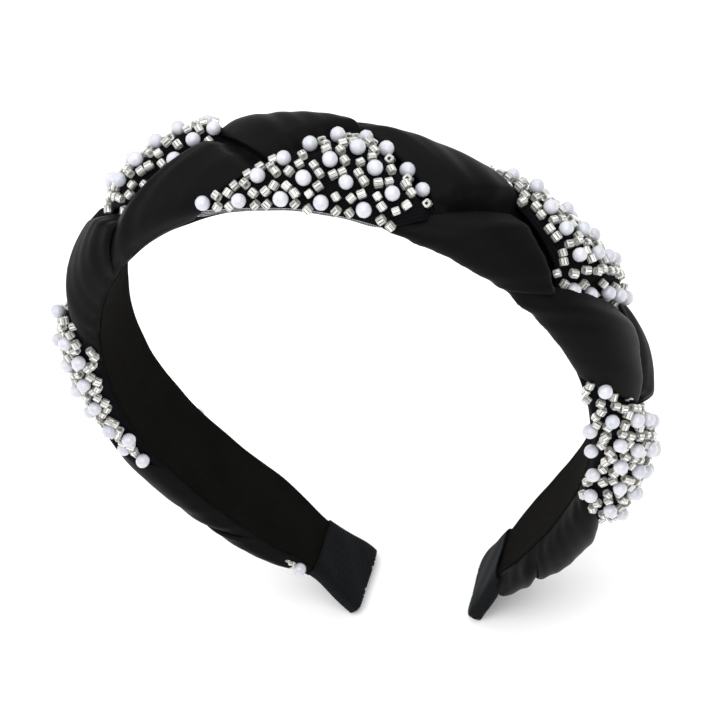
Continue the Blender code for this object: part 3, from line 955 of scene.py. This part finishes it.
def add_sleeve(half, side):
    """The ribbon's middle surface: a rounded rectangle round the tip, carried along the band.
    It bulges at its mouth, waves a little and widens to the end, which is cut in teeth."""
    run = np.linspace(0, 1, SLEEVE_ROWS)[:, None]
    turn = np.linspace(0, 2 * math.pi, SLEEVE_COLUMNS, endpoint=False)[None, :]
    teeth = np.abs((turn / (2 * math.pi) * TEETH) % 1 * 2 - 1)
    at_end = smooth((run - TEETH_FROM) / (1 - TEETH_FROM))
    length = SLEEVE_LENGTH + TOOTH_DEPTH * (teeth - 0.5) * at_end
    s = HALF_LENGTH - SLEEVE_LENGTH + run * length
    wall = SLEEVE_WALL / 2
    low = -SLEEVE_ROOM - wall
    high = HOOP_LOW + HOOP_THICKNESS + SLEEVE_ROOM + wall
    mouth = 1 - smooth(run / MOUTH_SHARE)
    wide = lining_width(s) / 2 - SLEEVE_WALL + SLEEVE_ROOM + wall
    wide = wide - pinch(s) + TIP_FLARE * smooth((run - FLARE_FROM) / (1 - FLARE_FROM))
    across, up = rounded(np.cos(turn)), rounded(np.sin(turn))
    y = wide * across
    h = (low + high) / 2 + (high - low) / 2 * up
    h = h + MOUTH_BULGE * mouth * (up > 0) * (1 - np.abs(across) ** 3)
    h = h + WAVE_DEPTH * np.sin(run * WAVES_ALONG + across * WAVES_ACROSS)
    points = place(side * s, y, h)
    way_round = turn * (2 * (wide + (high - low) / 2)) / math.pi
    uv = np.stack(np.broadcast_arrays(s, way_round), axis=-1)
    if side > 0:
        points, uv = points[:, ::-1], uv[:, ::-1]
    sleeve = surface(f"sleeve_{half}_ribbon", points, ribbon, around=True, uv=uv)
    thicken(sleeve, SLEEVE_WALL * RIBBON_SHARE, 0)
    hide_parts(f"sleeve_{half}")
    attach(sleeve, f"{half}_half")


for half, side in (("left", -1), ("right", 1)):
    add_sleeve(half, side)


# ================================================================ the studio
# A wide pale floor under a soft, even light from above and from both sides, as small goods
# are shown. The camera looks down at the band from in front, to the right, and is rolled.

FLOOR_Z = cad_box[0][2] - 0.2 * MM
FLOOR_SIZE = 6.0
LIGHT_AIM = np.array([0.0, 0.0, -0.06])
WORLD_LIGHT = 0.55
CAMERA_AIM = np.array([0.0, 0.0, -65.0]) * MM
CAMERA_DISTANCE = 780.0 * MM
CAMERA_TURN, CAMERA_RISE, CAMERA_ROLL = np.radians([26.02, 43.94, -16.95])
LENS = 159.3  # mm
SENSOR = 36.0  # mm
LENS_SHIFT = (0.0060, 0.0059)


def add_floor():
    """A flat sheet of matt white board, with a very faint grain."""
    finish = Finish("pale floor", Base_Color=(0.93, 0.93, 0.93, 1), Roughness=0.9)
    spot = finish.node("TexCoord").outputs["Object"]
    grain = finish.noise(spot, 40, 2)
    finish.feed(finish.shader, "Base Color", finish.mix(grain, (0.925,) * 3, (0.935,) * 3))
    share = np.linspace(-FLOOR_SIZE / 2, FLOOR_SIZE / 2, 3)
    x, y = np.meshgrid(share, share, indexing="ij")
    points = np.stack([x, y, np.full_like(x, FLOOR_Z)], axis=-1)
    floor = surface("floor", points, finish.material)


def look_along(back, roll):
    """The turn of an object that looks along -back, with its own x level and then rolled."""
    back = Vector(back).normalized()
    right = Vector((-back.y, back.x, 0)).normalized()
    up = back.cross(right)
    level = Matrix((right, up, back)).transposed()
    return (level @ Matrix.Rotation(roll, 3, "Z")).to_euler()


def add_light(name, place_at, size, watts):
    """A square soft light that faces the band's middle."""
    lamp = bpy.data.lights.new(name, "AREA")
    lamp.energy = watts
    lamp.size = size
    light = bpy.data.objects.new(name, lamp)
    light.location = place_at
    light.rotation_euler = look_along(np.array(place_at) - LIGHT_AIM, 0.0)
    bpy.context.scene.collection.objects.link(light)


add_floor()
add_light("key", (0.35, -0.75, 0.9), size=1.5, watts=14)
add_light("fill", (-0.9, -0.3, 0.5), size=1.6, watts=8)
add_light("top", (0.1, 0.5, 1.1), size=2.0, watts=14)

world = bpy.data.worlds.new("soft studio")
world.use_nodes = True
world.node_tree.nodes["Background"].inputs["Color"].default_value = (1, 1, 1, 1)
world.node_tree.nodes["Background"].inputs["Strength"].default_value = WORLD_LIGHT
bpy.context.scene.world = world
bpy.context.scene.view_settings.view_transform = "Standard"

lens = bpy.data.cameras.new("camera")
lens.lens = LENS
lens.sensor_width = SENSOR
lens.clip_end = 20.0
lens.shift_x, lens.shift_y = LENS_SHIFT
camera = bpy.data.objects.new("camera", lens)
camera_back = np.array([math.sin(CAMERA_TURN) * math.cos(CAMERA_RISE),
                        -math.cos(CAMERA_TURN) * math.cos(CAMERA_RISE),
                        math.sin(CAMERA_RISE)])
camera.location = CAMERA_AIM + CAMERA_DISTANCE * camera_back
camera.rotation_euler = look_along(camera_back, CAMERA_ROLL)
bpy.context.scene.collection.objects.link(camera)
bpy.context.scene.camera = camera
